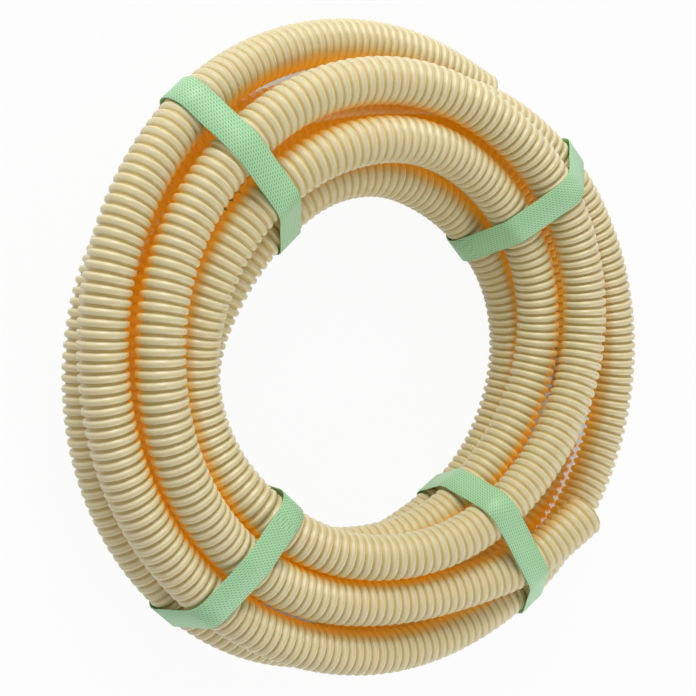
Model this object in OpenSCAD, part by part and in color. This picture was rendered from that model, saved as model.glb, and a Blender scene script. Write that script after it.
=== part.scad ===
// Hank of corrugated flexible conduit: one length of pliable plastic conduit wound
// into an open coil of about six passes and bound by four flat plastic straps.
// Units are millimetres. The coil lies on z = 0 with its axis on Z, and clock
// angles run clockwise from +Y when it is seen from above.

/* [Conduit] */
// Outside diameter over the rib crests
conduit_od = 25; // [20:0.5:32]
// Depth of the corrugated wall, from the rib crests in to the clear bore
wall_depth = 3.25; // [1:0.25:4]
// Straight run at each cut end
end_length = 25; // [15:1:40]
// Length of the crest collar at each joint between two bends
collar_length = 3; // [2:0.5:6]
// Height of a crest collar over the bends beside it
collar_step = 0.2; // [0.1:0.05:0.5]

/* [Coil] */
// Centre-line radius of the innermost lane
eye_lane_r = 96.5; // [90:0.5:200]
// Side gap between neighbouring passes
pass_gap = 0.4; // [0.4:0.1:2]

/* [Straps] */
// Width of the flat strap
strap_width = 16; // [9:0.5:19]
// Thickness of the flat strap
strap_thickness = 0.6; // [0.4:0.1:1.2]
// Clearance between the strap and the conduit
strap_clearance = 0.3; // [0.2:0.1:1]

/* [Hidden] */
$fn = 48;
// Seam gap and lap between two bends inside their collar
seam_gap = 0.2;
collar_lap = 0.05;
// How far beyond its edges a strap still feels a pass, and the step to which its
// corners are rounded outward
strap_margin = 1;
corner_step = 0.5;

conduit_colour = [0.90, 0.86, 0.72];
strap_colour = [0.62, 0.85, 0.66];

// Clock angles of the two cut ends, the second counted on through five more turns
first_angle = 147;
last_angle = 2192;
// The route between them has a station at each eighth of a turn, from the fourth on.
// Each is [lane, layer]: how many conduit widths the pass lies out from the innermost
// lane and up from the lowest layer. The passes that a section cuts keep a width apart.
first_eighth = 4;
ROUTE = [
    // front end, and the first turn on top, between the outer and the inner lanes
    [2.2, 2.0],
    [1.5, 1.8], [1.5, 1.7], [1.7, 2.0], [1.9, 1.9], [2.0, 1.9], [1.6, 2.0], [1.2, 1.9], [0.6, 2.0],
    // second turn, on top, in the inner lanes
    [0.4, 2.0], [0.5, 1.7], [0.7, 1.3], [0.8, 1.6], [0.8, 1.9], [0.6, 1.5], [0.4, 1.2], [0.1, 1.1],
    // third turn, round the eye and down
    [0.3, 1.0], [0.6, 0.7], [0.3, 0.3], [0.0, 0.7], [0.1, 0.8], [0.0, 0.5], [0.3, 0.2], [0.5, 0.0],
    // fourth turn, along the bottom in the middle lanes
    [0.7, 0.0], [1.7, 0.3], [1.6, 0.4], [1.4, 0.2], [1.1, 0.0], [1.7, 0.2], [2.1, 0.2], [2.4, 0.2],
    // fifth turn, along the bottom to the outer lanes
    [2.6, 0.2], [2.8, 0.5], [2.7, 0.5], [2.4, 0.5], [1.8, 0.8], [2.3, 1.1], [2.7, 1.1], [3.0, 1.0],
    // last turn, in the outer lanes and up, and down to the back end
    [2.7, 1.3], [2.5, 1.5], [2.7, 1.7], [3.0, 1.6], [2.9, 0.6],
    [2.8, 0.2],
];
// Clock angles of the straps
strap_angles = [58.5, 157.5, 234.5, 328.5];
// Centre of the coil's outline
centre = [0.1, 2.45];
// Height of the lowest strap, the second, which the coil rests on
rest_z = -0.9;

conduit_bore = conduit_od - 2 * wall_depth;
lane_pitch = conduit_od + pass_gap;
last = len(ROUTE) - 1;
route_r = [for (s = ROUTE) eye_lane_r + s[0] * lane_pitch];
route_z = [for (s = ROUTE) conduit_od / 2 + strap_clearance + strap_thickness
                           + s[1] * lane_pitch];

// ---- route ----

function unit(v) = v / norm(v);
function radial(angle) = [sin(angle), cos(angle), 0];
function tangential(angle) = [cos(angle), -sin(angle), 0];
function slope(list, i) =
    let (a = max(i - 1, 0), b = min(i + 1, last))
        (list[b] - list[a]) / ((station_angle(b) - station_angle(a)) * PI / 180);
function station_angle(i) =
    i == 0 ? first_angle : i == last ? last_angle : (first_eighth + i - 1) * 45;
function station_point(i) =
    route_r[i] * radial(station_angle(i)) + [0, 0, route_z[i]];
function station_direction(i) =
    unit(slope(route_r, i) * radial(station_angle(i))
         + route_r[i] * tangential(station_angle(i))
         + [0, 0, slope(route_z, i)]);

// Two arcs that leave p0 along t0 and reach p1 along t1 meet here.
function joint_point(p0, t0, p1, t1) =
    let (v = p1 - p0, t = t0 + t1, c = 2 * (1 - t0 * t1),
         d = (sqrt(pow(v * t, 2) + c * (v * v)) - v * t) / c)
        (p0 + p1 + d * (t0 - t1)) / 2;

// An arc from p along t to q, as [centre, direction to p, t, radius, angle].
function arc(p, t, q) =
    let (c = q - p, n = unit(c - (c * t) * t), r = (c * c) / (2 * (c * n)))
        [p + r * n, -n, t, r, 2 * atan2(norm(cross(t, c)), c * t)];

// The same arc run the other way.
function reversed(a) =
    [a[0], cos(a[4]) * a[1] + sin(a[4]) * a[2],
     sin(a[4]) * a[1] - cos(a[4]) * a[2], a[3], a[4]];

BENDS = [
    for (i = [0 : last - 1])
        let (p0 = station_point(i), t0 = station_direction(i),
             p1 = station_point(i + 1), t1 = station_direction(i + 1),
             q = joint_point(p0, t0, p1, t1))
            each [arc(p0, t0, q), reversed(arc(p1, -t1, q))]
];

// ---- conduit ----

// Places the child's origin at p with its Z axis along t.
module along(p, t) {
    x = unit(cross(abs(t.z) < 0.9 ? [0, 0, 1] : [1, 0, 0], t));
    y = cross(t, x);
    multmatrix([[x.x, y.x, t.x, p.x], [x.y, y.y, t.y, p.y], [x.z, y.z, t.z, p.z]])
        children();
}

module tube(outer_r, inner_r, length) {
    linear_extrude(length)
        difference() {
            circle(outer_r);
            circle(inner_r);
        }
}

module bend(b) {
    x = b[1];
    y = b[2];
    z = cross(x, y);
    trim = seam_gap / 2 / b[3] * 180 / PI;
    multmatrix([[x.x, y.x, z.x, b[0].x], [x.y, y.y, z.y, b[0].y], [x.z, y.z, z.z, b[0].z]])
        rotate([0, 0, trim])
            rotate_extrude(angle = b[4] - 2 * trim)
                translate([b[3], 0])
                    difference() {
                        circle(conduit_od / 2 - collar_step);
                        circle(conduit_bore / 2 + collar_lap);
                    }
}

module collar(p, t) {
    along(p - collar_length / 2 * t, t)
        tube(conduit_od / 2, conduit_bore / 2, collar_length);
}

// A straight end is a plain tube that overlaps the last bend as a collar does and
// runs at the full diameter up to the square cut.
module cut_end(p, t) {
    lap = collar_length / 2;
    along(p - lap * t, t)
        tube(conduit_od / 2, conduit_bore / 2, lap + end_length);
}

module conduit() {
    color(conduit_colour)
        translate([-centre.x, -centre.y, -rest_z])
            union() {
                cut_end(station_point(0), -station_direction(0));
                cut_end(station_point(last), station_direction(last));
                for (b = BENDS) bend(b);
                for (i = [1 : len(BENDS) - 1])
                    collar(BENDS[i][0] + BENDS[i][3] * BENDS[i][1], BENDS[i][2]);
            }
}

// ---- straps ----

// A point of a bend at an angle from its start.
function bend_point(b, angle) = b[0] + b[3] * (cos(angle) * b[1] + sin(angle) * b[2]);

// Rounds a value to the corner step, away from the middle.
function outward(value, middle) =
    corner_step * (value > middle ? ceil(value / corner_step) : floor(value / corner_step));

// Where the passes cross a strap, as [out, up], seen along the conduit.
function crossings(angle) =
    let (out = radial(angle), across = tangential(angle),
         reach = strap_width / 2 + strap_margin,
         found = [
             for (b = BENDS)
                 for (k = [0 : 40])
                     let (p = bend_point(b, b[4] * k / 40))
                         if (p * out > 0 && abs(p * across) < reach)
                             [p * out, p.z]
         ],
         x = [for (f = found) f.x], z = [for (f = found) f.y],
         middle = [(min(x) + max(x)) / 2, (min(z) + max(z)) / 2])
        [for (f = found) [outward(f.x, middle.x), outward(f.y, middle.y)]];

// Convex outline of a set of points, counter-clockwise, by gift wrapping.
function turn_side(o, a, b) = (a.x - o.x) * (b.y - o.y) - (a.y - o.y) * (b.x - o.x);
function lowest(pts, i = 0, best = 0) =
    i == len(pts) ? best
    : lowest(pts, i + 1, pts[i].y < pts[best].y - 1e-6 ? i : best);
function next_corner(pts, from, i = 0, best = -1) =
    i == len(pts) ? best
    : norm(pts[i] - pts[from]) < 1e-6 ? next_corner(pts, from, i + 1, best)
    : best < 0 ? next_corner(pts, from, i + 1, i)
    : let (s = turn_side(pts[from], pts[best], pts[i]))
        next_corner(pts, from, i + 1,
            s < -1e-6 || (abs(s) <= 1e-6
                && norm(pts[i] - pts[from]) > norm(pts[best] - pts[from])) ? i : best);
function wrap(pts, start, at, done = []) =
    let (n = next_corner(pts, at))
        norm(pts[n] - pts[start]) < 1e-6 ? concat(done, [pts[at]])
        : wrap(pts, start, n, concat(done, [pts[at]]));
function outline(pts) = let (s = lowest(pts)) wrap(pts, s, s);

// The taut loop at a distance r round a convex outline, as one closed outline:
// straight between the corners and round at each of them.
function direction_of(a, b) = atan2(b.y - a.y, b.x - a.x);
function loop_points(corners, r) =
    let (n = len(corners))
        [for (i = [0 : n - 1])
            let (c = corners[i],
                 into = direction_of(corners[(i + n - 1) % n], c),
                 turn = (direction_of(c, corners[(i + 1) % n]) - into + 720) % 360,
                 steps = ceil(turn * $fn / 360))
                for (k = [0 : steps])
                    let (a = into - 90 + turn * k / steps)
                        c + r * [cos(a), sin(a)]];

module strap(angle) {
    corners = outline(crossings(angle));
    inner = conduit_od / 2 + strap_clearance;
    color(strap_colour)
        translate([-centre.x, -centre.y, -rest_z])
            rotate([90, 0, 90 - angle])
                linear_extrude(strap_width, center = true)
                    difference() {
                        polygon(loop_points(corners, inner + strap_thickness));
                        polygon(loop_points(corners, inner));
                    }
}

conduit();
strap(strap_angles[0]);  // strap_1
strap(strap_angles[1]);  // strap_2
strap(strap_angles[2]);  // strap_3
strap(strap_angles[3]);  // strap_4
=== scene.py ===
"""A coil of pliable corrugated conduit, bound by four flat plastic straps.

The coil lies on the floor with its axis upright. Lengths are in metres, and clock
angles run clockwise from +Y when the coil is seen from above.
"""
import logging
import math
from dataclasses import dataclass, field
from enum import Enum
from typing import Any, Sequence

import bpy
import numpy as np
from mathutils import Matrix, Vector
from mathutils.bvhtree import BVHTree


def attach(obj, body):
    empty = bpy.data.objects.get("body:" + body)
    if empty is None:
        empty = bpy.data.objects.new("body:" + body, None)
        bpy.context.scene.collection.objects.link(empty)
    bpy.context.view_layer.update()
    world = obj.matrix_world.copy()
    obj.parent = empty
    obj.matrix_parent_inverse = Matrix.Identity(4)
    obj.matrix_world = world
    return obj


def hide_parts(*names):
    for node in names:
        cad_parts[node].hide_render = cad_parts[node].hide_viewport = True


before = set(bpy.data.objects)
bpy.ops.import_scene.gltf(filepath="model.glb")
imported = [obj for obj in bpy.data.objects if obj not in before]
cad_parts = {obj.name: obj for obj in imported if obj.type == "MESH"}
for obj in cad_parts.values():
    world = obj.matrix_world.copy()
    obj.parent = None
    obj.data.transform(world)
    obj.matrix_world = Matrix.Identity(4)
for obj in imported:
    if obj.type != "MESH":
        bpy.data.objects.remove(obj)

log = logging.getLogger("conduit_coil")

Array = np.ndarray


# ---- colour and shader helpers ----

def linear(hex_colour: str) -> tuple[float, float, float, float]:
    """Turns an sRGB hex colour into linear values.

    Args:
        hex_colour: Six hex digits, with or without a leading hash.

    Returns:
        Linear red, green and blue, and an alpha of 1.
    """
    digits = hex_colour.lstrip("#")
    parts = [int(digits[i:i + 2], 16) / 255 for i in (0, 2, 4)]
    r, g, b = (c / 12.92 if c <= 0.04045 else ((c + 0.055) / 1.055) ** 2.4 for c in parts)
    return (r, g, b, 1.0)


def add_node(
    tree: bpy.types.NodeTree,
    kind: str,
    settings: dict[str, Any] | None = None,
    values: dict[Any, Any] | None = None,
    links: dict[Any, bpy.types.NodeSocket] | None = None,
) -> bpy.types.Node:
    """Adds one shader node with its settings, socket values and incoming links.

    Args:
        tree: The node tree that gets the node.
        kind: The node's type name.
        settings: Properties of the node itself.
        values: Unlinked input values, by socket name or index.
        links: Output sockets that feed the inputs, by socket name or index.

    Returns:
        The new node.
    """
    node = tree.nodes.new(kind)
    for name, value in (settings or {}).items():
        setattr(node, name, value)
    for key, value in (values or {}).items():
        node.inputs[key].default_value = value
    for key, source in (links or {}).items():
        tree.links.new(source, node.inputs[key])
    return node


def new_material(name: str) -> tuple[bpy.types.Material, bpy.types.NodeTree]:
    """Makes an empty node material.

    Args:
        name: The material's name.

    Returns:
        The material and its cleared node tree.
    """
    material = bpy.data.materials.new(name)
    material.use_nodes = True
    material.node_tree.nodes.clear()
    return material, material.node_tree


def looking_rays(tree: bpy.types.NodeTree) -> bpy.types.NodeSocket:
    """Picks out the rays that look at a background, directly or in gloss or glass.

    Args:
        tree: The node tree that gets the nodes.

    Returns:
        A socket that is 1 for camera, glossy and transmission rays, and 0 for others.
    """
    path = add_node(tree, "ShaderNodeLightPath")
    seen = path.outputs["Is Camera Ray"]
    for kind in ("Is Glossy Ray", "Is Transmission Ray"):
        seen = add_node(tree, "ShaderNodeMath", {"operation": "MAXIMUM"},
                        links={0: seen, 1: path.outputs[kind]}).outputs[0]
    return seen


# ---- finishes ----

@dataclass(frozen=True)
class CorrugatedPolypropylene:
    """Cream polypropylene, extruded and drawn into ribs by a chain of moulds.

    The mould leaves the crests satin. The rib shoulders carry a painted highlight, lighter
    than the crest, and the valleys a painted shade, yellower and darker. The real conduit
    lets warm light through; here the narrow places between passes, which only see more
    conduit, carry a painted deep orange shade and a painted glow.
    """

    crest: str = "#DFD09E"
    # Painted highlight on the rib shoulders.
    shoulder_painted_highlight: str = "#F4EAC2"
    # Painted shade in the rib valleys, yellower and darker than the crest.
    valley_painted_shade: str = "#D6BF7C"
    # Painted orange shade between passes, from the warm to the deep colour as the enclosure rises.
    warm_painted_shade: str = "#F0C766"
    deep_painted_shade: str = "#FFC952"
    # Painted glow: emission in the most enclosed places, though the conduit is no lamp.
    painted_glow: str = "#FFC400"
    painted_glow_strength: float = 0.075
    painted_glow_power: float = 2.5
    closed_from: float = 0.34
    closed_to: float = 0.84
    roughness: float = 0.32
    ior: float = 1.49
    depth_share: float = 0.2
    depth_mm: float = 1.5
    depth_by_colour: tuple[float, float, float] = (1.0, 0.42, 0.1)
    mottle_mm: float = 14.0
    mottle_tone: tuple[float, float] = (0.97, 1.03)
    grain_mm: float = 0.9
    grain_height_mm: float = 0.03
    grain_share: float = 0.25

    def build(self) -> bpy.types.Material:
        """Builds the conduit's material.

        Returns:
            The material, which reads the mesh's relief and enclosure attributes to place its painted
            highlight, painted shade and painted glow.
        """
        material, tree = new_material("conduit_polypropylene_corrugated_satin")
        relief = add_node(tree, "ShaderNodeAttribute", {"attribute_name": "relief"})
        closed = add_node(tree, "ShaderNodeAttribute", {"attribute_name": "enclosure"})
        place = add_node(tree, "ShaderNodeTexCoord")
        mottle = add_node(
            tree, "ShaderNodeTexNoise", {"noise_dimensions": "3D"},
            {"Scale": 1000 / self.mottle_mm, "Detail": 3.0},
            {"Vector": place.outputs["Object"]},
        )
        # Relief sets the colour along each rib: painted shade in the valley, a painted highlight on
        # the shoulders, and the crest's own cream.
        open_colour = add_node(tree, "ShaderNodeValToRGB", links={0: relief.outputs["Fac"]})
        stops = open_colour.color_ramp.elements
        stops[0].position, stops[0].color = 0.1, linear(self.valley_painted_shade)
        stops[1].position, stops[1].color = 1.0, linear(self.crest)
        stops.new(0.82).color = linear(self.shoulder_painted_highlight)
        # The enclosure mixes in a painted orange shade between passes.
        ramp = add_node(tree, "ShaderNodeValToRGB", links={0: closed.outputs["Fac"]})
        stops = ramp.color_ramp.elements
        stops[0].position, stops[0].color = self.closed_from, (0, 0, 0, 1)
        stops[1].position, stops[1].color = self.closed_to, (1, 1, 1, 1)
        closed_colour = add_node(
            tree, "ShaderNodeMix", {"data_type": "RGBA"},
            {6: linear(self.warm_painted_shade), 7: linear(self.deep_painted_shade)},
            {0: ramp.outputs["Color"]},
        )
        colour = add_node(
            tree, "ShaderNodeMix", {"data_type": "RGBA"},
            links={0: ramp.outputs["Color"], 6: open_colour.outputs["Color"],
                   7: closed_colour.outputs[2]},
        )
        tone = add_node(
            tree, "ShaderNodeMapRange",
            values={"To Min": self.mottle_tone[0], "To Max": self.mottle_tone[1]},
            links={"Value": mottle.outputs["Fac"]},
        )
        shaded = add_node(
            tree, "ShaderNodeHueSaturation",
            links={"Color": colour.outputs[2], "Value": tone.outputs["Result"]},
        )
        # A painted glow: emission that rises with the enclosure.
        inmost = add_node(
            tree, "ShaderNodeMath", {"operation": "POWER"}, {1: self.painted_glow_power},
            {0: ramp.outputs["Color"]},
        )
        painted_glow = add_node(
            tree, "ShaderNodeMath", {"operation": "MULTIPLY"}, {1: self.painted_glow_strength},
            {0: inmost.outputs[0]},
        )
        grain = add_node(
            tree, "ShaderNodeTexNoise", {"noise_dimensions": "3D"},
            {"Scale": 1000 / self.grain_mm, "Detail": 2.0},
            {"Vector": place.outputs["Object"]},
        )
        bump = add_node(
            tree, "ShaderNodeBump",
            values={"Strength": self.grain_share, "Distance": self.grain_height_mm / 1000},
            links={"Height": grain.outputs["Fac"]},
        )
        surface = add_node(
            tree, "ShaderNodeBsdfPrincipled",
            values={"Roughness": self.roughness, "IOR": self.ior,
                    "Subsurface Weight": self.depth_share,
                    "Subsurface Radius": self.depth_by_colour,
                    "Subsurface Scale": self.depth_mm / 1000,
                    "Emission Color": linear(self.painted_glow)},
            links={"Base Color": shaded.outputs["Color"], "Normal": bump.outputs["Normal"],
                   "Emission Strength": painted_glow.outputs[0]},
        )
        add_node(tree, "ShaderNodeOutputMaterial", links={0: surface.outputs[0]})
        return material


@dataclass(frozen=True)
class EmbossedStrapping:
    """Mint polypropylene strapping, extruded, drawn out and rolled with fine diamonds.

    The drawn film is thin enough to glow a little, and the rolled diamonds break its
    satin gloss into fine slanting rows, with a painted shade in their hollows.
    """

    colour: str = "#B9E6B4"
    # Painted shade in the rolled diamonds' hollows.
    hollow_painted_shade: str = "#68AE75"
    roughness: float = 0.38
    ior: float = 1.49
    depth_share: float = 0.15
    depth_mm: float = 2.0
    depth_by_colour: tuple[float, float, float] = (0.4, 0.8, 0.4)
    row_mm: float = 1.35
    emboss_mm: float = 0.12
    emboss_share: float = 0.8
    slants_deg: tuple[float, float] = (46.0, 4.0)

    def build(self) -> bpy.types.Material:
        """Builds the strap's material.

        Returns:
            The material, which reads the strap's UV map in metres.
        """
        material, tree = new_material("strap_polypropylene_rolled_diamond")
        uv = add_node(tree, "ShaderNodeUVMap", {"uv_map": "strap_metres"})
        bands = []
        # A wave texture has a period of 2 pi / 20 units at a scale of 1.
        waves_per_metre = 1000 / self.row_mm
        for slant in self.slants_deg:
            turned = add_node(
                tree, "ShaderNodeMapping",
                values={"Rotation": (0, 0, math.radians(slant))},
                links={"Vector": uv.outputs["UV"]},
            )
            bands.append(add_node(
                tree, "ShaderNodeTexWave",
                {"wave_type": "BANDS", "bands_direction": "Y"},
                {"Scale": 2 * math.pi / 20 * waves_per_metre},
                {"Vector": turned.outputs["Vector"]},
            ))
        diamond = add_node(
            tree, "ShaderNodeMath", {"operation": "MULTIPLY"},
            links={0: bands[0].outputs["Fac"], 1: bands[1].outputs["Fac"]},
        )
        # The diamonds' hollows take a painted shade.
        colour = add_node(
            tree, "ShaderNodeMix", {"data_type": "RGBA"},
            {6: linear(self.colour), 7: linear(self.hollow_painted_shade)},
            {0: diamond.outputs[0]},
        )
        bump = add_node(
            tree, "ShaderNodeBump", {"invert": True},
            {"Strength": self.emboss_share, "Distance": self.emboss_mm / 1000},
            links={"Height": diamond.outputs[0]},
        )
        surface = add_node(
            tree, "ShaderNodeBsdfPrincipled",
            values={"Roughness": self.roughness, "IOR": self.ior,
                    "Subsurface Weight": self.depth_share,
                    "Subsurface Radius": self.depth_by_colour,
                    "Subsurface Scale": self.depth_mm / 1000},
            links={"Base Color": colour.outputs[2], "Normal": bump.outputs["Normal"]},
        )
        add_node(tree, "ShaderNodeOutputMaterial", links={0: surface.outputs[0]})
        return material


@dataclass(frozen=True)
class PaleFloor:
    """Matt white painted board, seen white with a trace of the coil's shadow.

    In a ring under the passes the board keeps the whole shadow, so that the slots
    between them look onto a shaded floor.
    """

    colour: str = "#EDEDED"
    shadow_share: float = 0.06
    covered_centre: tuple[float, float, float] = (0.017, -0.014, 0.0)
    covered_from: float = 0.108
    covered_to: float = 0.175
    fade: float = 0.005

    def build(self) -> bpy.types.Material:
        """Builds the floor's material.

        Returns:
            A matt material that the camera sees as nearly pure white.
        """
        material, tree = new_material("floor_board_matt_white")
        matt = add_node(tree, "ShaderNodeBsdfDiffuse", values={"Color": linear(self.colour)})
        white = add_node(tree, "ShaderNodeEmission", values={"Color": (1, 1, 1, 1), "Strength": 1.0})
        place = add_node(tree, "ShaderNodeTexCoord")
        radius = add_node(
            tree, "ShaderNodeVectorMath", {"operation": "DISTANCE"},
            {1: self.covered_centre}, {0: place.outputs["Object"]},
        )
        open_floor = [
            add_node(
                tree, "ShaderNodeMapRange", {"interpolation_type": "SMOOTHSTEP"},
                {"From Min": edge - self.fade, "From Max": edge + self.fade,
                 "To Min": lit, "To Max": 1 - lit},
                {"Value": radius.outputs["Value"]},
            )
            for edge, lit in ((self.covered_from, 1.0), (self.covered_to, 0.0))
        ]
        clear = add_node(
            tree, "ShaderNodeMath", {"operation": "MAXIMUM"},
            links={0: open_floor[0].outputs[0], 1: open_floor[1].outputs[0]},
        )
        seen = add_node(
            tree, "ShaderNodeMath", {"operation": "MULTIPLY"},
            links={0: looking_rays(tree), 1: clear.outputs[0]},
        )
        share = add_node(
            tree, "ShaderNodeMath", {"operation": "MULTIPLY"},
            {1: 1 - self.shadow_share}, {0: seen.outputs[0]},
        )
        mixed = add_node(
            tree, "ShaderNodeMixShader",
            links={0: share.outputs[0], 1: matt.outputs[0], 2: white.outputs[0]},
        )
        add_node(tree, "ShaderNodeOutputMaterial", links={0: mixed.outputs[0]})
        return material


# ---- the conduit's route ----

@dataclass(frozen=True)
class Bend:
    """One arc of the route.

    Attributes:
        centre: The arc's centre.
        out: Unit direction from the centre to the arc's start.
        ahead: Unit direction of travel at the start.
        radius: The arc's radius.
        angle: The arc's angle, in radians.
    """

    centre: Array
    out: Array
    ahead: Array
    radius: float
    angle: float

    @property
    def length(self) -> float:
        """Length along the arc."""
        return self.radius * self.angle

    def at(self, distance: Array) -> tuple[Array, Array]:
        """Points and directions of travel at distances from the start."""
        a = (distance / self.radius)[:, None]
        point = self.centre + self.radius * (np.cos(a) * self.out + np.sin(a) * self.ahead)
        return point, np.cos(a) * self.ahead - np.sin(a) * self.out

    def reversed(self) -> "Bend":
        """The same arc, run the other way."""
        c, s = math.cos(self.angle), math.sin(self.angle)
        return Bend(self.centre, c * self.out + s * self.ahead,
                    s * self.out - c * self.ahead, self.radius, self.angle)


def unit(v: Array) -> Array:
    """The vector at length 1."""
    return v / np.linalg.norm(v)


def arc_from(p: Array, t: Array, q: Array) -> Bend:
    """The arc that leaves a point along a direction and reaches another point.

    Args:
        p: Start of the arc.
        t: Unit direction at the start.
        q: End of the arc.

    Returns:
        The arc.
    """
    chord = q - p
    inward = unit(chord - (chord @ t) * t)
    radius = (chord @ chord) / (2 * (chord @ inward))
    angle = 2 * math.atan2(np.linalg.norm(np.cross(t, chord)), chord @ t)
    return Bend(p + radius * inward, -inward, t, radius, angle)


@dataclass(frozen=True)
class Route:
    """The wound centreline of the conduit, with a station at each eighth of a turn.

    Each station is the conduit widths out from the innermost lane and up from the
    lowest layer. The first and the last stations stand at the two cut ends.
    """

    conduit_od: float = 0.025
    pass_gap: float = 0.0004
    eye_lane_r: float = 0.0965
    strap_room: float = 0.0009
    rest_z: float = -0.0009
    centre: tuple[float, float] = (0.0001, 0.00245)
    first_deg: float = 147.0
    last_deg: float = 2192.0
    first_eighth: int = 4
    end_length: float = 0.025
    stations: tuple[tuple[float, float], ...] = (
        (2.2, 2.0),
        (1.5, 1.8), (1.5, 1.7), (1.7, 2.0), (1.9, 1.9), (2.0, 1.9), (1.6, 2.0), (1.2, 1.9), (0.6, 2.0),
        (0.4, 2.0), (0.5, 1.7), (0.7, 1.3), (0.8, 1.6), (0.8, 1.9), (0.6, 1.5), (0.4, 1.2), (0.1, 1.1),
        (0.3, 1.0), (0.6, 0.7), (0.3, 0.3), (0.0, 0.7), (0.1, 0.8), (0.0, 0.5), (0.3, 0.2), (0.5, 0.0),
        (0.7, 0.0), (1.7, 0.3), (1.6, 0.4), (1.4, 0.2), (1.1, 0.0), (1.7, 0.2), (2.1, 0.2), (2.4, 0.2),
        (2.6, 0.2), (2.8, 0.5), (2.7, 0.5), (2.4, 0.5), (1.8, 0.8), (2.3, 1.1), (2.7, 1.1), (3.0, 1.0),
        (2.7, 1.3), (2.5, 1.5), (2.7, 1.7), (3.0, 1.6), (2.9, 0.6),
        (2.8, 0.2),
    )

    @property
    def origin(self) -> Array:
        """The frame's origin in the winding's own coordinates."""
        return np.array([*self.centre, self.rest_z])

    def bends(self) -> list[Bend]:
        """Works out the two arcs between each pair of stations.

        Returns:
            The arcs in order, in the row frame.
        """
        pitch = self.conduit_od + self.pass_gap
        lane, layer = np.array(self.stations).T
        r = self.eye_lane_r + lane * pitch
        z = self.conduit_od / 2 + self.strap_room + layer * pitch
        clock = (np.arange(len(r)) + self.first_eighth - 1) * 45.0
        clock[0], clock[-1] = self.first_deg, self.last_deg
        a = np.radians(clock)
        radial = np.stack([np.sin(a), np.cos(a), 0 * a], 1)
        along = np.stack([np.cos(a), -np.sin(a), 0 * a], 1)
        low = np.maximum(np.arange(len(a)) - 1, 0)
        high = np.minimum(low + 2, len(a) - 1)
        high[0] = 1
        dr, dz = ((v[high] - v[low]) / (a[high] - a[low]) for v in (r, z))
        p = r[:, None] * radial
        p[:, 2] = z
        t = dr[:, None] * radial + r[:, None] * along
        t[:, 2] = dz
        t /= np.linalg.norm(t, axis=1)[:, None]
        p = p - self.origin
        arcs: list[Bend] = []
        for p0, t0, p1, t1 in zip(p, t, p[1:], t[1:]):
            v, s, c = p1 - p0, t0 + t1, 2 * (1 - t0 @ t1)
            d = (math.sqrt((v @ s) ** 2 + c * (v @ v)) - v @ s) / c
            joint = (p0 + p1 + d * (t0 - t1)) / 2
            arcs += [arc_from(p0, t0, joint), arc_from(p1, -t1, joint).reversed()]
        return arcs

    @property
    def length(self) -> float:
        """The conduit's whole length, with both straight ends."""
        return sum(b.length for b in self.bends()) + 2 * self.end_length

    def at(self, distance: Array) -> tuple[Array, Array]:
        """Finds points on the centreline.

        Args:
            distance: Distances from the first cut end, in rising order.

        Returns:
            The points, and the unit directions of travel there.
        """
        arcs = self.bends()
        starts = self.end_length + np.concatenate([[0], np.cumsum([b.length for b in arcs])])
        points, ahead = np.zeros((len(distance), 3)), np.zeros((len(distance), 3))
        for bend, start, stop in zip(arcs, starts, starts[1:]):
            here = (distance >= start) & (distance <= stop)
            points[here], ahead[here] = bend.at(distance[here] - start)
        for here, bend, edge, near in (
            (distance < starts[0], arcs[0], 0.0, starts[0]),
            (distance > starts[-1], arcs[-1], arcs[-1].length, starts[-1]),
        ):
            point, way = bend.at(np.array([edge]))
            points[here] = point + (distance[here] - near)[:, None] * way
            ahead[here] = way
        return points, ahead


# ---- meshes ----

def make_object(
    name: str, vertices: Array, faces: list[list[int]], material: bpy.types.Material
) -> bpy.types.Object:
    """Makes a smooth-shaded mesh object.

    Args:
        name: The piece's name.
        vertices: Vertex positions in the row frame.
        faces: The vertex indices of each face.
        material: The finish.

    Returns:
        The object, linked to the scene.
    """
    mesh = bpy.data.meshes.new(name)
    mesh.from_pydata(vertices.tolist(), [], faces)
    mesh.polygons.foreach_set("use_smooth", np.ones(len(faces), dtype=bool))
    mesh.materials.append(material)
    mesh.update()
    piece = bpy.data.objects.new(name, mesh)
    bpy.context.scene.collection.objects.link(piece)
    return piece


def ring_quads(rings: int, sides: int, start: int = 0, inward: bool = False) -> Array:
    """Lists the quads between successive rings of vertices.

    Args:
        rings: How many rings there are.
        sides: Vertices in a ring.
        start: Index of the first vertex.
        inward: Whether the faces look towards the axis.

    Returns:
        Four vertex indices a face.
    """
    i, j = np.meshgrid(np.arange(rings - 1), np.arange(sides), indexing="ij")
    k = (j + 1) % sides
    quads = np.stack([i * sides + j, i * sides + k, (i + 1) * sides + k,
                      (i + 1) * sides + j], -1).reshape(-1, 4) + start
    return quads[:, ::-1] if inward else quads


def tube_rings(points: Array, ahead: Array, radii: Array, sides: int) -> tuple[Array, Array]:
    """Places a ring of vertices round each point of a line.

    Args:
        points: The line's points.
        ahead: Unit directions of travel.
        radii: The radius at each point.
        sides: Vertices in a ring.

    Returns:
        Vertex positions and their outward directions, each rings by sides by 3.
    """
    x = np.cross([0.0, 0.0, 1.0], ahead)
    x /= np.linalg.norm(x, axis=1)[:, None]
    y = np.cross(ahead, x)
    a = np.linspace(0, 2 * np.pi, sides, endpoint=False)
    out = np.cos(a)[None, :, None] * x[:, None] + np.sin(a)[None, :, None] * y[:, None]
    return points[:, None] + radii[:, None, None] * out, out


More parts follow.
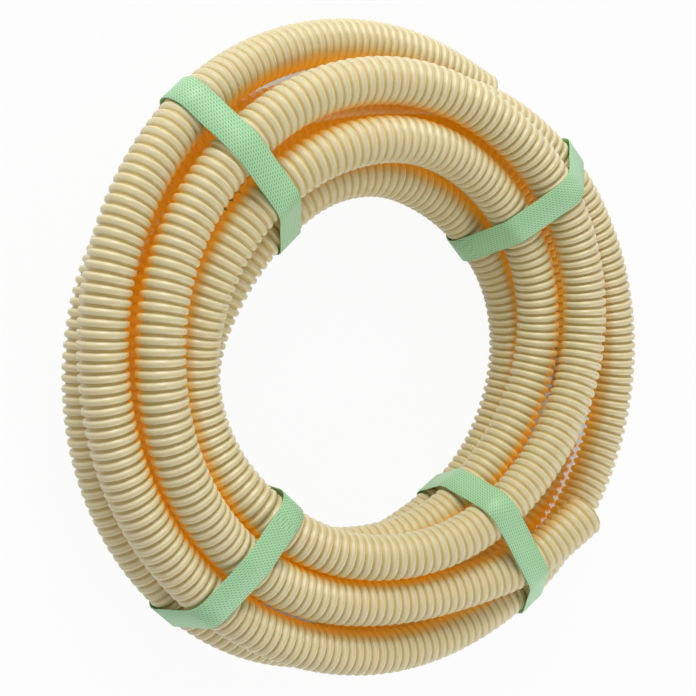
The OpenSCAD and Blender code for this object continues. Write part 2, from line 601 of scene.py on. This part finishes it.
@dataclass
class Conduit:
    """The corrugated conduit, with every rib, and both ends cut square and open."""

    route: Route = field(default_factory=Route)
    rib_pitch: float = 0.0051
    rib_depth: float = 0.0019
    wall: float = 0.0006
    open_ribs: int = 7
    sides: int = 20
    # The bore at the open ends gets a fixed enclosure and relief, so it takes the painted shade and
    # glow.
    bore_enclosure: float = 0.7
    bore_relief: float = 0.3
    outlook_rays: int = 24
    outlook_step: float = 0.008
    outlook_reach: float = 0.08
    outlook_lift: float = 0.0006
    # One rib, from valley to valley: the share of the pitch and of the rib's height.
    rib: tuple[tuple[float, float], ...] = (
        (0.0, 0.0), (0.21, 0.0), (0.36, 0.85), (0.605, 1.0), (0.85, 0.85),
    )

    def rib_line(self) -> tuple[Array, Array]:
        """Lays the ribs out along the conduit.

        Returns:
            The distance of each ring from the first end, and its relief from 0 to 1.
        """
        length = self.route.length
        count = round(length / self.rib_pitch)
        share, relief = np.array(self.rib).T
        distance = ((np.arange(count)[:, None] + share) * length / count).ravel()
        return np.append(distance, length), np.append(np.tile(relief, count), 0.0)

    def enclosure(self, distance: Array) -> Array:
        """Measures how much of its outlook each place on the conduit loses to other passes.

        Args:
            distance: The rings' distances from the first end.

        Returns:
            The share that is blocked, rings by sides.
        """
        # The blocked share found here sets where the material paints its orange shade and glow.
        coarse = np.linspace(0, self.route.length, int(self.route.length / self.outlook_step))
        points, ahead = self.route.at(coarse)
        radius = self.route.conduit_od / 2
        body_share, body_sides = 0.97, 16
        body, _ = tube_rings(points, ahead, np.full(len(coarse), radius * body_share), body_sides)
        tree = BVHTree.FromPolygons(
            body.reshape(-1, 3).tolist(), ring_quads(len(coarse), body_sides).tolist())
        spots, out = tube_rings(points, ahead, np.full(len(coarse), radius), self.sides)
        # The rays fan out in a spiral that gives each the same share of a matt surface's light.
        k = np.arange(self.outlook_rays) + 0.5
        share, turn = k / self.outlook_rays, k * math.pi * (3 - math.sqrt(5))
        rays = np.stack([np.sqrt(share) * np.cos(turn), np.sqrt(share) * np.sin(turn),
                         np.sqrt(1 - share)], 1)
        blocked = np.zeros(spots.shape[:2])
        for i, way in enumerate(ahead):
            for j in range(self.sides):
                n = out[i, j]
                side = np.cross(n, way)
                start = Vector(spots[i, j] + self.outlook_lift * n)
                for ray in rays @ np.stack([way, side, n]):
                    if tree.ray_cast(start, Vector(ray), self.outlook_reach)[0] is not None:
                        blocked[i, j] += 1 / self.outlook_rays
        return np.stack([np.interp(distance, coarse, blocked[:, j])
                         for j in range(self.sides)], 1)

    def build(self, finish: CorrugatedPolypropylene) -> bpy.types.Object:
        """Builds the whole conduit as one piece.

        Args:
            finish: The conduit's finish.

        Returns:
            The piece.
        """
        distance, relief = self.rib_line()
        crest = self.route.conduit_od / 2
        points, ahead = self.route.at(distance)
        radii = crest - self.rib_depth * (1 - relief)
        skin, _ = tube_rings(points, ahead, radii, self.sides)
        closed = self.enclosure(distance)
        blocks, shares, relieves = [skin], [closed], [np.repeat(relief[:, None], self.sides, 1)]
        quads = [ring_quads(len(distance), self.sides)]
        depth = self.open_ribs * len(self.rib)
        for rows in (slice(0, depth), slice(len(distance) - depth, len(distance))):
            start = sum(b.shape[0] for b in blocks) * self.sides
            bore, _ = tube_rings(points[rows], ahead[rows], radii[rows] - self.wall, self.sides)
            blocks.append(bore)
            # The bore's fixed enclosure and relief give it the painted shade and glow.
            shares.append(np.full(bore.shape[:2], self.bore_enclosure))
            relieves.append(np.full(bore.shape[:2], self.bore_relief))
            quads.append(ring_quads(len(bore), self.sides, start, inward=True))
            first = rows.start == 0
            edge = 0 if first else (len(distance) - 1) * self.sides
            lip = start if first else start + (len(bore) - 1) * self.sides
            j = np.arange(self.sides)
            k = (j + 1) % self.sides
            rim = np.stack([edge + k, edge + j, lip + j, lip + k], 1)
            quads.append(rim if first else rim[:, ::-1])
        vertices = np.concatenate([b.reshape(-1, 3) for b in blocks])
        faces = np.concatenate(quads).tolist()
        piece = make_object("conduit_ribbed", vertices, faces, finish.build())
        # These attributes place the material's painted highlight, painted shade and painted glow.
        for name, values in (("enclosure", shares), ("relief", relieves)):
            layer = piece.data.attributes.new(name, "FLOAT", "POINT")
            layer.data.foreach_set("value", np.concatenate([v.ravel() for v in values]))
        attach(piece, "root")
        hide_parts("conduit")
        path, _ = self.route.at(np.linspace(0, self.route.length, 500))
        self.route.length
        return piece


class StrapPlace(Enum):
    """The clock angle of each strap, in degrees, by its CAD node."""

    strap_1 = 58.5
    strap_2 = 157.5
    strap_3 = 234.5
    strap_4 = 328.5


@dataclass
class Strap:
    """A flat strap pulled taut round all the passes, and welded underneath."""

    place: StrapPlace
    route: Route = field(default_factory=Route)
    width: float = 0.016
    thickness: float = 0.0006
    clearance: float = 0.0003
    feel: float = 0.001
    corners_per_metre: int = 2000
    weld_length: float = 0.018
    weld_spare: float = 0.004
    edge_softness: float = 0.35
    arc_step_deg: float = 5.0
    run_step: float = 0.004

    def directions(self) -> tuple[Array, Array]:
        """The unit directions out from the coil's axis and across the strap."""
        a = math.radians(self.place.value)
        return np.array([math.sin(a), math.cos(a), 0]), np.array([math.cos(a), -math.sin(a), 0])

    def corners(self) -> Array:
        """Finds the corners of the passes' convex outline at the strap.

        Returns:
            The centres of the outermost passes there as [out, up], in order.
        """
        out, across = self.directions()
        found = []
        for bend in self.route.bends():
            p, _ = bend.at(np.linspace(0, bend.length, 41))
            p = p + self.route.origin
            here = (p @ out > 0) & (np.abs(p @ across) < self.width / 2 + self.feel)
            found.append(np.stack([p[here] @ out, p[here, 2]], 1))
        q = np.concatenate(found) * self.corners_per_metre
        middle = (q.min(0) + q.max(0)) / 2
        q = np.unique(np.where(q > middle, np.ceil(q), np.floor(q)), axis=0)
        hull: list[Array] = []
        for points in (q, q[::-1]):
            side: list[Array] = []
            for p in points:
                while len(side) > 1 and self.turn(side[-2], side[-1], p) <= 0:
                    side.pop()
                side.append(p)
            hull += side[:-1]
        return np.array(hull) / self.corners_per_metre

    @staticmethod
    def turn(o: Array, a: Array, b: Array) -> float:
        """Twice the signed area of a corner, positive where it turns left."""
        return float((a[0] - o[0]) * (b[1] - o[1]) - (a[1] - o[1]) * (b[0] - o[0]))

    def loop(self) -> tuple[Array, Array, Array]:
        """Runs once round the strap's inner face.

        Returns:
            The points as [out, up], their outward directions, and the distances run.
        """
        c = self.corners()
        reach = self.route.conduit_od / 2 + self.clearance
        points, normals = [], []
        for before, here, after in zip(np.roll(c, 1, 0), c, np.roll(c, -1, 0)):
            into, leave = here - before, after - here
            a = math.atan2(into[1], into[0]) - math.pi / 2
            turn = (math.atan2(leave[1], leave[0]) - math.pi / 2 - a) % (2 * math.pi)
            arc_steps = math.ceil(turn / math.radians(self.arc_step_deg))
            for t in np.linspace(0, turn, max(2, arc_steps + 1)):
                n = np.array([math.cos(a + t), math.sin(a + t)])
                points.append(here + reach * n)
                normals.append(n)
            run_steps = math.ceil(np.linalg.norm(leave) / self.run_step)
            for f in np.linspace(0, 1, max(2, run_steps))[1:-1]:
                points.append(here + f * leave + reach * n)
                normals.append(n)
        p, n = np.array(points), np.array(normals)
        run = np.concatenate([[0], np.cumsum(np.linalg.norm(np.diff(p, axis=0), axis=1))])
        return p, n, run

    def band(
        self, name: str, p: Array, n: Array, run: Array, base: float, closed: bool,
        material: bpy.types.Material,
    ) -> bpy.types.Object:
        """Builds a band of the strap's section along a line.

        Args:
            name: The piece's name.
            p: The line's points as [out, up].
            n: Their outward directions.
            run: Their distances along the line.
            base: How far the band's inner face stands off the line.
            closed: Whether the band is a closed loop.
            material: The finish.

        Returns:
            The piece.
        """
        half, t, soft = self.width / 2, self.thickness, self.thickness * self.edge_softness
        section = np.array([
            (-half + soft, 0), (half - soft, 0), (half, soft), (half, t - soft),
            (half - soft, t), (0, t), (-half + soft, t), (-half, t - soft), (-half, soft),
        ])
        out, across = self.directions()
        up = np.array([0, 0, 1.0])
        rows = []
        for (r, z), (nr, nz) in zip(p, n):
            foot = r * out + z * up
            outward = nr * out + nz * up
            rows.append(foot + section[:, :1] * across + (section[:, 1:] + base) * outward)
        grid = np.array(rows) - self.route.origin
        count, sides = grid.shape[:2]
        last = (count - 1) * sides
        faces = ring_quads(count, sides).tolist()
        if closed:
            j = np.arange(sides)
            k = (j + 1) % sides
            faces += np.stack([last + j, last + k, k, j], 1).tolist()
        else:
            faces += [list(range(sides))[::-1], list(range(last, last + sides))]
        piece = make_object(name, grid.reshape(-1, 3), faces, material)
        self.unwrap(piece, section, run, sides)
        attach(piece, "root")
        return piece

    @staticmethod
    def unwrap(piece: bpy.types.Object, section: Array, run: Array, sides: int) -> None:
        """Writes the UV map that the strap's pattern follows, in metres.

        Args:
            piece: The band.
            section: The section's points as [across, off].
            run: Distances along the band.
            sides: Vertices in a ring.
        """
        layer = piece.data.uv_layers.new(name="strap_metres")
        full = run[-1] + np.linalg.norm(run[1] - run[0])
        for face in piece.data.polygons:
            rows = [v // sides for v in face.vertices]
            wraps = max(rows) - min(rows) > 1
            for index, vertex in zip(face.loop_indices, face.vertices):
                row = vertex // sides
                u = full if wraps and row == 0 else run[row]
                layer.data[index].uv = (u, section[vertex % sides][0])

    def build(self, material: bpy.types.Material) -> list[bpy.types.Object]:
        """Builds the strap and the welded lap on its lower run.

        Args:
            material: The strap's finish.

        Returns:
            The pieces.
        """
        p, n, run = self.loop()
        name = self.place.name
        band = self.band(f"{name}_band", p, n, run, 0.0, True, material)
        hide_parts(name)
        faces_down = -0.8
        low = [i for i in range(len(p)) if n[i][1] < faces_down]
        middle = p[low].mean(0)
        reach = self.weld_length / 2 + self.weld_spare
        lap = [i for i in low if np.linalg.norm(p[i] - middle) < reach]
        pieces = [band]
        sunk_share = 0.98
        if len(lap) > 2:
            pieces.append(self.band(f"{name}_weld_lap", p[lap], n[lap], run[lap],
                                    self.thickness * sunk_share, False, material))
        return pieces


# ---- studio ----

@dataclass
class Studio:
    """A pale floor, soft studio light, and a camera that looks down at the coil."""

    route: Route = field(default_factory=Route)
    side_deg: float = 31.864
    rise_deg: float = 12.031
    roll_deg: float = -9.105
    distance: float = 0.71586
    aim: tuple[float, float] = (-0.031556, 0.013703)
    lens_mm: float = 69.14
    aim_layer: float = 1.8
    light_aim: tuple[float, float, float] = (0.0, 0.0, 0.03)
    key_place: tuple[float, float, float] = (-0.1, 1.4, 0.8)
    key_size: float = 0.9
    key_watts: float = 15.0
    fill_place: tuple[float, float, float] = (0.5, -1.3, 0.8)
    fill_size: float = 1.2
    fill_watts: float = 9.0
    sky_strength: float = 0.39
    floor_half: float = 6.0

    def aim_height(self) -> float:
        """Height of the plane that the camera is aimed at, in the winding's own height."""
        pitch = self.route.conduit_od + self.route.pass_gap
        return self.route.conduit_od / 2 + self.route.strap_room + self.aim_layer * pitch

    def camera(self) -> bpy.types.Object:
        """Makes the scene's camera.

        Returns:
            The camera.
        """
        a, e, roll = (math.radians(v) for v in (self.side_deg, self.rise_deg, self.roll_deg))
        shift = np.array([0, 0, self.aim_height()]) - self.route.origin
        place = self.distance * np.array([-math.sin(a) * math.cos(e), math.sin(e),
                                          math.cos(a) * math.cos(e)])
        look = unit(np.array([*self.aim, 0]) - place)
        right = unit(np.cross(look, [0, 1, 0]))
        up = np.cross(right, look)
        c, s = math.cos(roll), math.sin(roll)
        axes = np.stack([c * right + s * up, c * up - s * right, -look], 1)
        data = bpy.data.cameras.new("camera")
        data.lens, data.sensor_width = self.lens_mm, 36.0
        data.clip_start, data.clip_end = 0.01, 50.0
        camera = bpy.data.objects.new("camera", data)
        camera.matrix_world = Matrix.Translation(place + shift) @ Matrix(axes.tolist()).to_4x4()
        bpy.context.scene.collection.objects.link(camera)
        bpy.context.scene.camera = camera
        return camera

    def softbox(self, name: str, place: Sequence[float], size: float, watts: float) -> None:
        """Hangs a square soft light that faces the coil.

        Args:
            name: The light's name.
            place: Where it hangs.
            size: Length of its side.
            watts: Its power.
        """
        data = bpy.data.lights.new(name, "AREA")
        data.size, data.energy = size, watts
        lamp = bpy.data.objects.new(name, data)
        lamp.location = place
        lamp.rotation_mode = "QUATERNION"
        lamp.rotation_quaternion = (Vector(self.light_aim) - Vector(place)).to_track_quat("-Z", "Y")
        bpy.context.scene.collection.objects.link(lamp)

    def build(self, floor: PaleFloor) -> None:
        """Makes the floor, the lights and the world.

        Args:
            floor: The floor's finish.
        """
        h = self.floor_half
        corners = np.array([(-h, -h, 0), (h, -h, 0), (h, h, 0), (-h, h, 0)])
        board = make_object("floor", corners, [[0, 1, 2, 3]], floor.build())
        self.softbox("key", self.key_place, self.key_size, self.key_watts)
        self.softbox("fill", self.fill_place, self.fill_size, self.fill_watts)
        world = bpy.data.worlds.new("studio")
        world.use_nodes = True
        tree = world.node_tree
        tree.nodes.clear()
        light, white = (
            add_node(tree, "ShaderNodeBackground", values={"Color": (1, 1, 1, 1), "Strength": s})
            for s in (self.sky_strength, 1.0)
        )
        mixed = add_node(
            tree, "ShaderNodeMixShader",
            links={0: looking_rays(tree), 1: light.outputs[0], 2: white.outputs[0]},
        )
        add_node(tree, "ShaderNodeOutputWorld", links={0: mixed.outputs[0]})
        bpy.context.scene.world = world
        bpy.context.scene.view_settings.view_transform = "Standard"


def main() -> None:
    """Builds every piece of the coil and its studio."""
    logging.basicConfig(level=logging.INFO, format="%(name)s: %(message)s")
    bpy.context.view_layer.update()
    studio = Studio()
    studio.camera()
    conduit = Conduit().build(CorrugatedPolypropylene())
    log.info("%s: %d quads", conduit.name, len(conduit.data.polygons))
    strapping = EmbossedStrapping().build()
    for place in StrapPlace:
        for piece in Strap(place).build(strapping):
            log.info("%s: %d faces", piece.name, len(piece.data.polygons))
    studio.build(PaleFloor())


if __name__ == "__main__":
    main()
